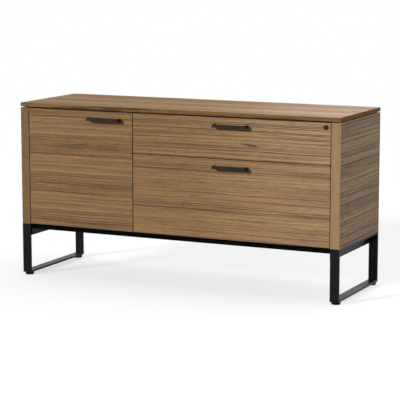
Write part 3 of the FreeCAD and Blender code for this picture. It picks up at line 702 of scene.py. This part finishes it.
@dataclass(frozen=True)
class Plywood(Finish):
    """Lacquered birch plywood: pale, almost plain faces, and plies that show on the edges."""

    cut: Cut
    ply_mm: float = 1.35
    face_light: str = "#D9BE95"
    face_dark: str = "#C5A679"
    ply_dark: str = "#9C7749"
    ply_share: float = 0.7
    edge_facing: float = 0.5
    grain_along: float = 3.0
    grain_across: float = 130.0
    grain_reach: Span = (0.3, 0.65)
    rough: Span = (0.52, 0.42)
    relief: Relief = Relief(0.2, 0.1)

    def draw(self, tree: Tree) -> dict[str, Any]:
        """Draw the plywood.

        Args:
            tree: Node tree of the material.

        Returns:
            Values and sockets for the shader's inputs.
        """
        sums = partial(maths, tree)
        coordinates = add(tree, "ShaderNodeTexCoord").outputs
        along, across, through = self.cut.of(split(tree, coordinates["Object"]))
        slow = sums("MULTIPLY", along, self.grain_along)
        quick = sums("MULTIPLY", across, self.grain_across)
        grain = noise(tree, join(tree, slow, quick, 0.5), 1.0, 4.0, 0.6)
        face = ramp(tree, grain, self.grain_reach, self.face_dark, self.face_light)
        # Every other ply is dark, and shows where the face doesn't look through the board
        plies = sums("FRACT", sums("MULTIPLY", through, 1 / (2 * self.ply_mm * MM)))
        *_, flat = self.cut.of(split(tree, coordinates["Normal"]))
        edge = sums("LESS_THAN", sums("ABSOLUTE", flat), self.edge_facing)
        share = sums("MULTIPLY", sums("GREATER_THAN", plies, 0.5), edge)
        share = sums("MULTIPLY", share, self.ply_share)
        return {
            "Base Color": mix_colours(tree, share, face, linear(self.ply_dark)),
            "Roughness": remap(tree, grain, target=self.rough),
            "Normal": self.relief.draw(tree, grain)}


@dataclass(frozen=True)
class Moulded(Finish):
    """Moulded plastic or rubber: one dyed colour with a fine spark-eroded texture."""

    colour: str
    roughness: float
    grit_mm: float = 0.4
    transmission: float = 0.0
    specular: float = 0.5
    uneven: float = 0.06
    tint: Span = (0.92, 1.08)
    relief: Relief = Relief(0.3, 0.03)

    def draw(self, tree: Tree) -> dict[str, Any]:
        """Draw the moulding.

        Args:
            tree: Node tree of the material.

        Returns:
            Values and sockets for the shader's inputs.
        """
        place = add(tree, "ShaderNodeTexCoord").outputs["Object"]
        grit = noise(tree, place, 1 / (self.grit_mm * MM), 2.0)
        rough = self.roughness - self.uneven, self.roughness + self.uneven
        tinted = {"Value": remap(tree, grit, target=self.tint), "Color": linear(self.colour)}
        return {
            "Base Color": add(tree, "ShaderNodeHueSaturation", tinted).outputs[0],
            "Roughness": remap(tree, grit, target=rough),
            "Transmission Weight": self.transmission, "Specular IOR Level": self.specular,
            "Normal": self.relief.draw(tree, grit)}


def built(finish: Finish) -> Any:
    """A dataclass field that builds its finish when the whole set is made."""
    return field(default_factory=finish.material)


@dataclass
class Finishes:
    """All materials of the cabinet, made once and shared by the sub-assemblies."""

    figure: Tree = field(default_factory=Figure().build)
    steel: Material = built(PowderCoat(
        "powder_coated_steel_black", "#0E0E0D", "#11110F", 0.34, 0.09))
    # Painted shade: same steel as the loops, deeper black for the shade under the body
    bar_steel: Material = built(PowderCoat(
        "powder_coated_steel_painted_shade", "#030303", "#060606", 0.4, 0.02))
    pull: Material = built(PowderCoat(
        "powder_coated_pull_graphite", "#1F1913", "#241E17", 0.42, 0.12, 0.5, Relief(0.4, 0.015)))
    zinc: Material = built(PlatedSteel("zinc_plated_sheet", Axis.Y))
    screw: Material = built(PlatedSteel(
        "zinc_plated_screw", Axis.Z, "#C3C2BC", "#A5A49C", 0.28, 0.3))
    lock: Material = built(PowderCoat(
        "black_plated_zinc_casting", "#0B0B0B", "#101010", 0.3, 0.12, 0.3, Relief(0.4, 0.005)))
    lock_plug: Material = built(PowderCoat(
        "bronze_tinted_plug", "#2A1D18", "#352520", 0.35, 0.2, 0.3, Relief(0.4, 0.005)))
    foot: Material = built(Moulded("moulded_nylon_black", "#050505", 0.5, specular=0.06))
    bumper: Material = built(Moulded("polyurethane_buffer", "#C9C8C2", 0.35, transmission=0.3))
    # Painted shade: the spacer's near black stands in for the shade in the gap under the top
    reveal: Material = built(Moulded("near_black_spacer_painted_shade", "#0C0A09", 0.6, 0.6))
    ply_side: Material = built(Plywood("birch_plywood_side", Cut.SIDE))
    ply_end: Material = built(Plywood("birch_plywood_end", Cut.FRONT))
    ply_floor: Material = built(Plywood("birch_plywood_floor", Cut.FLAT))
    beech: Material = built(Plywood(
        "beech_dowel_rod", Cut.FRONT, 4.0, "#CFAF7F", "#BE9A68", "#BE9A68"))

    def veneer(self, name: str, cut: Cut, seed: float, **changes: Any) -> Material:
        """Make one cut of the veneer.

        Args:
            name: What the veneer lies on.
            cut: How the board lies.
            seed: Which part of the log the cut comes from.
            changes: Other values of the finish.

        Returns:
            The material.
        """
        return Veneer("walnut_veneer_" + name, self.figure, cut, seed, **changes).material()


# Fasteners that repeat


@dataclass(frozen=True)
class ScrewType:
    """Sizes of a cross-recessed screw with a domed head, in millimetres."""

    head_diameter: float
    head_height: float
    shank_diameter: float
    recess_length: float
    recess_width: float
    recess_depth: float


SIZES = tuple(ScrewType.__dataclass_fields__)
HEAD_SEGMENTS = 32
HEAD_RINGS = 16
SHANK_SIDES = 20
# The slab that halves the ball is so many head radii wide and so many head heights high
SLAB_RATIO = 3.0
# Only small faces of four corners at most are smooth, as those of the dome and the shank are
SMOOTH_CORNERS = 4
SMOOTH_AREA = 3e-6


def screw_tree(material: Material) -> Tree:
    """Build the Geometry Nodes tree that sets one screw on each vertex of a mesh.

    The vertex attribute "facing" says which way each head looks, and "length" how long each
    shank is, in metres.

    Args:
        material: Finish of the screws.

    Returns:
        The tree, with the sizes of a ScrewType as named inputs in metres.
    """
    tree = bpy.data.node_groups.new("screws_on_places", "GeometryNodeTree")
    new_socket = tree.interface.new_socket
    new_socket("Places", in_out="INPUT", socket_type="NodeSocketGeometry")
    for size in SIZES:
        new_socket(size, in_out="INPUT", socket_type="NodeSocketFloat")
    new_socket("Screws", in_out="OUTPUT", socket_type="NodeSocketGeometry")
    given = add(tree, "NodeGroupInput").outputs
    sums = partial(maths, tree)

    def made(kind: str, inputs: dict[str, Any], **settings: Any) -> Socket:
        """The first output of a new node."""
        return add(tree, kind, inputs, **settings).outputs[0]

    def lifted(geometry: Socket, height: Any) -> Socket:
        """Geometry moved along the screw's axis."""
        place = join(tree, 0.0, 0.0, height)
        return made("GeometryNodeTransform", {"Geometry": geometry, "Translation": place})

    # The dome is the upper half of a flattened ball, cut flat by a slab and crossed by the recess
    radius = sums("DIVIDE", given["head_diameter"], 2.0)
    height = given["head_height"]
    ball = made("GeometryNodeMeshUVSphere", {
        "Segments": HEAD_SEGMENTS, "Rings": HEAD_RINGS, "Radius": 1.0})
    flat = join(tree, radius, radius, height)
    head = made("GeometryNodeTransform", {"Geometry": ball, "Scale": flat})
    wide = sums("MULTIPLY", radius, SLAB_RATIO)
    size = join(tree, wide, wide, sums("MULTIPLY", height, SLAB_RATIO))
    slab = made("GeometryNodeMeshCube", {"Size": size})
    cutters = [lifted(slab, sums("MULTIPLY", height, -SLAB_RATIO / 2))]
    deep = sums("MULTIPLY", given["recess_depth"], 2.0)
    for across, along in (("recess_length", "recess_width"), ("recess_width", "recess_length")):
        size = join(tree, given[across], given[along], deep)
        cutters.append(lifted(made("GeometryNodeMeshCube", {"Size": size}), height))
    for cutter in cutters:
        head = made(
            "GeometryNodeMeshBoolean", {"Mesh 1": head, "Mesh 2": cutter},
            operation="DIFFERENCE", solver="EXACT")
    shank = lifted(made("GeometryNodeMeshCylinder", {
        "Vertices": SHANK_SIDES, "Radius": sums("DIVIDE", given["shank_diameter"], 2.0),
        "Depth": 1.0}), -0.5)
    named = "GeometryNodeInputNamedAttribute"
    facing = made(named, {"Name": "facing"}, data_type="FLOAT_VECTOR")
    length = made(named, {"Name": "length"}, data_type="FLOAT")
    turn = made("FunctionNodeAlignRotationToVector", {"Vector": facing}, axis="Z")
    whole = add(tree, "GeometryNodeJoinGeometry")
    for part, stretch in ((head, 1.0), (shank, length)):
        placed = made("GeometryNodeInstanceOnPoints", {
            "Points": given["Places"], "Instance": part, "Rotation": turn,
            "Scale": join(tree, 1.0, 1.0, stretch)})
        tree.links.new(placed, whole.inputs[0])
    real = made("GeometryNodeRealizeInstances", {"Geometry": whole.outputs[0]})
    finished = made("GeometryNodeSetMaterial", {"Geometry": real, "Material": material})
    add(tree, "NodeGroupOutput", {"Screws": finished})
    return tree


@dataclass
class ScrewSet:
    """Screws of one body, set by Geometry Nodes on a list of places.

    Each place is the middle of the head's underside, in millimetres, with the shank's length.
    """

    node: str
    body: str
    kind: ScrewType
    places: list[tuple[float, float, float, float]]
    facing: Point

    def build(self, tree: Tree) -> bpy.types.Object:
        """Build the screws as one plain mesh that rides on its body and stands for its node.

        Args:
            tree: The Geometry Nodes tree of the screws.

        Returns:
            The finished piece.
        """
        seeds = bpy.data.meshes.new(self.node + "_places")
        seeds.from_pydata([[size * MM for size in place[:3]] for place in self.places], [], [])
        seeds.attributes.new("facing", "FLOAT_VECTOR", "POINT")
        seeds.attributes.new("length", "FLOAT", "POINT")
        seeds.attributes["facing"].data.foreach_set("vector", self.facing * len(self.places))
        seeds.attributes["length"].data.foreach_set("value", [p[3] * MM for p in self.places])
        piece = show(bpy.data.objects.new(self.node + "_dressed", seeds))
        modifier = piece.modifiers.new("screws", "NODES")
        modifier.node_group = tree
        for socket in tree.interface.items_tree:
            if socket.name in SIZES:
                modifier[socket.identifier] = getattr(self.kind, socket.name) * MM
        bpy.context.view_layer.update()
        evaluated = piece.evaluated_get(bpy.context.evaluated_depsgraph_get())
        plain = bpy.data.meshes.new_from_object(evaluated)
        piece.modifiers.clear()
        piece.data = plain
        bpy.data.meshes.remove(seeds)
        finish = next(material for material in plain.materials if material)
        plain.materials.clear()
        plain.materials.append(finish)
        for polygon in plain.polygons:
            polygon.material_index = 0
            few = len(polygon.vertices) <= SMOOTH_CORNERS
            polygon.use_smooth = few and polygon.area < SMOOTH_AREA
        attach(piece, self.body)
        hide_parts(self.node)
        count = len(self.places)
        LOG.info("%s: %d screws on %s, %d faces", piece.name, count, self.body, len(plain.polygons))
        return piece


@dataclass
class Screws:
    """All screws whose heads can be looked at, in their three sizes.

    A column is a place in X and a row a place in Y. A seat is the level that the head lies on,
    and a shank its length. Everything is in millimetres.
    """

    finishes: Finishes
    pan_5: ScrewType = ScrewType(10.0, 3.0, 5.0, 5.2, 1.1, 1.8)
    pan_4: ScrewType = ScrewType(8.0, 2.5, 4.0, 4.4, 0.9, 1.5)
    pull_4: ScrewType = ScrewType(8.5, 2.4, 4.0, 4.4, 0.9, 1.4)
    side_columns: tuple[float, ...] = (-698.5, 698.5)
    side_rows: tuple[float, ...] = (-154.5, 14.0, 182.5)
    side_seat: float = 214.0
    side_shank: float = 38.0
    bar_columns: tuple[float, ...] = (-450.0, 0.0, 450.0)
    bar_rows: tuple[float, ...] = (-170.0, 198.0)
    bar_seat: float = 218.0
    bar_shank: float = 16.0
    top_columns: tuple[float, ...] = (-609.5, -117.0, 609.5)
    top_rows: tuple[float, ...] = (-83.5, 118.5)
    top_seat: float = 697.5
    top_shank: float = 34.0
    pull_half_spacing: float = 69.5
    pull_row: float = -195.5
    pull_shank: float = 28.0
    door_middle: float = -316.0
    drawer_middle: float = 254.5
    upper_level: float = 683.15
    file_level: float = 516.15

    def build(self) -> None:
        """Set the screws of the leg frames, the top and the three pulls."""
        tree = screw_tree(self.finishes.screw)
        frame_places = [
            (x, y, self.side_seat, self.side_shank)
            for x in self.side_columns for y in self.side_rows]
        frame_places += [
            (x, y, self.bar_seat, self.bar_shank) for x in self.bar_columns for y in self.bar_rows]
        top_places = [
            (x, y, self.top_seat, self.top_shank) for x in self.top_columns for y in self.top_rows]
        ScrewSet("frame_screws", "cabinet", self.pan_5, frame_places, (0, 0, -1)).build(tree)
        ScrewSet("top_screws", "cabinet", self.pan_4, top_places, (0, 0, -1)).build(tree)
        for body, middle, level in (
                ("door", self.door_middle, self.upper_level),
                ("upper_drawer", self.drawer_middle, self.upper_level),
                ("file_drawer", self.drawer_middle, self.file_level)):
            places = [
                (middle + side * self.pull_half_spacing, self.pull_row, level, self.pull_shank)
                for side in (-1, 1)]
            ScrewSet(body + "_pull_screws", body, self.pull_4, places, (0, 1, 0)).build(tree)


# Sub-assemblies


@dataclass
class Case:
    """Panels of the case, with the shelf, the dowels and the spacer under the top."""

    finishes: Finishes

    def build(self) -> None:
        """Dress the case."""
        veneer = self.finishes.veneer
        # Painted light and shade: left strip darker, right strip lighter, top lighter than its
        # edges
        left = veneer(
            "side_left", Cut.SIDE, 2.3, wander=0.005, saturation=0.84, edge_gain=0.89,
            edge_saturation=1.25)
        right = veneer(
            "side_right", Cut.SIDE, 10.58, start=0.016, line_strength=1.05, tone_strength=1.3,
            wander=0.007, gain=0.955, saturation=0.89, edge_gain=1.46, edge_saturation=1.04)
        top = veneer(
            "top", Cut.FLAT, 3.4, start=0.022, tone_strength=1.3, bands=0.6, roughness=0.75,
            specular=0.03, gain=1.40, saturation=0.86, edge_gain=0.52, edge_saturation=1.2,
            paler_right=0.70)
        dress(left, "side_panel_left")
        dress(right, "side_panel_right")
        dress(top, "top_panel")
        dress(veneer("boards", Cut.FLAT, 6.2), "bottom_panel", "sub_top_panel", "shelf")
        dress(veneer("divider", Cut.SIDE, 7.7), "divider_panel")
        dress(veneer("back", Cut.FRONT, 8.1, roughness=0.6), "back_panel")
        # The spacer's near black is painted shade of the gap under the top
        dress(self.finishes.reveal, "reveal_spacer")
        dress(self.finishes.beech, "panel_dowels")
        dress(self.finishes.zinc, "shelf_pins")


@dataclass
class LegFrames:
    """Two loops of flat bar with their webs, the bars between them, and the levelling feet."""

    finishes: Finishes
    feet: tuple[str, ...] = ("front_left", "front_right", "rear_left", "rear_right")

    def build(self) -> None:
        """Dress the leg frames."""
        dress(
            self.finishes.steel, "leg_loop_left", "leg_loop_right", "rail_web_left",
            "rail_web_right")
        # The crossbars get the painted shade coat
        dress(self.finishes.bar_steel, "crossbar_front", "crossbar_rear")
        dress(self.finishes.foot, *("foot_" + foot for foot in self.feet))


@dataclass
class Door:
    """Left door with its pull, hinges and buffers."""

    finishes: Finishes

    def build(self) -> None:
        """Dress the door."""
        # Painted shade: the front's edges are darkened, where shade falls in the gaps
        veneer = self.finishes.veneer(
            "door", Cut.FRONT, 7.85, start=0.0041, line_strength=0.78, tone_strength=0.98,
            wander=0.010, gain=0.99, edge_gain=0.45)
        dress(veneer, "door_panel")
        dress(self.finishes.pull, "door_pull")
        dress(self.finishes.zinc, "door_hinge_cups", "hinge_arms", "hinge_pins", "hinge_links")
        dress(self.finishes.bumper, "door_bumpers")


@dataclass
class Drawer:
    """One drawer: front, box, pull and slides."""

    finishes: Finishes
    name: str
    slide: str
    seed: float
    start: float
    paler_right: float
    mark: Mark | None = None

    def build(self) -> None:
        """Dress the drawer."""
        name = self.name
        # Painted light: front lighter and paler to the right; painted shade: its edges darker
        veneer = self.finishes.veneer(
            name, Cut.FRONT, self.seed, start=self.start, line_strength=0.9, tone_strength=0.80,
            wander=0.014, gain=1.055, edge_gain=0.45, paler_right=self.paler_right, mark=self.mark)
        dress(veneer, name + "_front")
        dress(self.finishes.ply_side, name + "_side_left", name + "_side_right")
        dress(self.finishes.ply_end, name + "_inner_front", name + "_back")
        dress(self.finishes.ply_floor, name + "_floor")
        dress(self.finishes.pull, name + "_pull")
        members = [f"{self.slide}_slide_{member}" for member in ("outers", "middles", "inners")]
        dress(self.finishes.zinc, *members)


@dataclass
class Lock:
    """Cam lock in the upper drawer's front, and the file drawer's rails with the same plating."""

    finishes: Finishes

    def build(self) -> None:
        """Dress the lock and the rails."""
        dress(self.finishes.lock, "lock_housing")
        dress(self.finishes.lock_plug, "lock_plug")
        dress(self.finishes.zinc, "lock_nut", "lock_cam", "lock_cam_screw", "file_drawer_rails")


# Studio


@dataclass(frozen=True)
class Sun:
    """A distant light, by the way that it shines, its strength and its width in degrees."""

    name: str
    way: Point
    energy: float
    angle: float

    def build(self) -> None:
        """Hang the light."""
        data = bpy.data.lights.new(self.name, "SUN")
        data.energy = self.energy
        data.angle = math.radians(self.angle)
        lamp = show(bpy.data.objects.new(self.name, data))
        lamp.rotation_euler = Vector(self.way).to_track_quat("-Z", "Y").to_euler()


@dataclass(frozen=True)
class Disk:
    """A round lamp, by its place, what it looks at, its diameter and its power in watts."""

    name: str
    place: Point
    aim: Point
    size: float
    power: float

    def build(self) -> None:
        """Hang the lamp."""
        data = bpy.data.lights.new(self.name, "AREA")
        data.shape = "DISK"
        data.size = self.size
        data.energy = self.power
        lamp = show(bpy.data.objects.new(self.name, data))
        lamp.location = self.place
        way = Vector(self.aim) - Vector(self.place)
        lamp.rotation_euler = way.to_track_quat("-Z", "Y").to_euler()


@dataclass
class Studio:
    """Pale floor, soft lights and the camera.

    Rays that show the background see a white world and a near white floor. Other rays meet a
    dimmer world, brightest at the back, and a grey floor.
    """

    camera_place: Point = (2.9291, -6.1245, 1.4059)
    camera_yaw: float = 25.437
    camera_pitch: float = 8.929
    lens_mm: float = 148.08
    sensor_mm: float = 36.0
    far: float = 200.0
    floor_size: float = 160.0
    floor_met: str = "#6E6E6E"
    floor_seen: str = "#F4F4F4"
    glow_share: float = 0.624
    glow: float = 1.05
    front_world: float = 0.07
    back_world: float = 0.60
    world_turn: Span = (-0.2, 0.7)
    lamps: tuple[Sun | Disk, ...] = (
        Sun("key_light", (0.016, 0.028, -0.012), 3.1, 10.0),
        Sun("overhead_light", (-0.10, -0.15, -1.0), 1.3, 60.0),
        Disk("right_front_light", (2.6, -1.6, 1.0), (0.6, -0.2, 0.45), 1.2, 10.0),
        Disk("right_fill_light", (3.2, 0.4, 1.3), (0.7, 0.1, 0.45), 1.4, 15.0))

    def build(self) -> None:
        """Build the floor, the world, the lamps and the camera."""
        self.floor()
        self.world()
        for lamp in self.lamps:
            lamp.build()
        self.camera()
        bpy.context.scene.view_settings.view_transform = "Standard"

    def shown(self, tree: Tree) -> Socket:
        """Tell the rays that show the background: to the camera, mirrored or through a clear part.

        Args:
            tree: Node tree that gets the nodes.

        Returns:
            1 for such a ray, and 0 for any other.
        """
        path = add(tree, "ShaderNodeLightPath").outputs
        direct = maths(tree, "MAXIMUM", path["Is Camera Ray"], path["Is Glossy Ray"])
        return maths(tree, "MAXIMUM", direct, path["Is Transmission Ray"])

    def floor(self) -> None:
        """Lay a large pale floor that keeps a faint shadow."""
        half = self.floor_size / 2
        corners = [(-half, -half, 0), (half, -half, 0), (half, half, 0), (-half, half, 0)]
        mesh = bpy.data.meshes.new("studio_floor")
        mesh.from_pydata(corners, [], [(0, 1, 2, 3)])
        floor = show(bpy.data.objects.new("studio_floor", mesh))
        material = new_material("painted_studio_floor")
        tree = material.node_tree
        seen = self.shown(tree)
        share = maths(tree, "MULTIPLY", seen, self.glow_share)
        tint = mix_colours(tree, seen, linear(self.floor_met), linear(self.floor_seen))
        paint = add(tree, "ShaderNodeBsdfDiffuse", {"Color": tint}).outputs[0]
        glow = add(tree, "ShaderNodeEmission", {"Color": WHITE, "Strength": self.glow}).outputs[0]
        mixed = add(tree, "ShaderNodeMixShader", {0: share, 1: paint, 2: glow}).outputs[0]
        add(tree, "ShaderNodeOutputMaterial", {"Surface": mixed})
        mesh.materials.append(material)

    def world(self) -> None:
        """Give the world a plain white that the camera sees as white."""
        world = bpy.data.worlds.new("studio_world")
        bpy.context.scene.world = world
        world.use_nodes = True
        tree = world.node_tree
        tree.nodes.clear()
        seen = self.shown(tree)
        direction = add(tree, "ShaderNodeTexCoord").outputs["Generated"]
        to_back = split(tree, direction)[Axis.Y.value]
        light = remap(tree, to_back, self.world_turn, (self.front_world, self.back_world))
        strength = mix_numbers(tree, seen, light, 1.0)
        sky = add(tree, "ShaderNodeBackground", {"Color": WHITE, "Strength": strength})
        add(tree, "ShaderNodeOutputWorld", {"Surface": sky.outputs[0]})

    def camera(self) -> None:
        """Set the camera at the photograph's angle."""
        data = bpy.data.cameras.new("camera")
        data.lens = self.lens_mm
        data.sensor_width = self.sensor_mm
        data.clip_end = self.far
        camera = show(bpy.data.objects.new("camera", data))
        camera.location = self.camera_place
        tilt = math.radians(90 - self.camera_pitch)
        camera.rotation_euler = Euler((tilt, 0.0, math.radians(self.camera_yaw)))
        bpy.context.scene.camera = camera


def main() -> None:
    """Build the classes in order."""
    logging.basicConfig(level=logging.INFO, format="%(name)s: %(message)s")
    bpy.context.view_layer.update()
    Studio().build()
    finishes = Finishes()
    Case(finishes).build()
    LegFrames(finishes).build()
    Door(finishes).build()
    # Each drawer front gets a painted sheen towards the right
    Drawer(
        finishes, "upper_drawer", "upper", seed=4.74, start=-0.0398, paler_right=0.32,
        mark=Mark(0.341, 0.6105)).build()
    Drawer(finishes, "file_drawer", "file", seed=4.0, start=0.0198, paler_right=0.24).build()
    Lock(finishes).build()
    Screws(finishes).build()


if __name__ == "__main__":
    main()
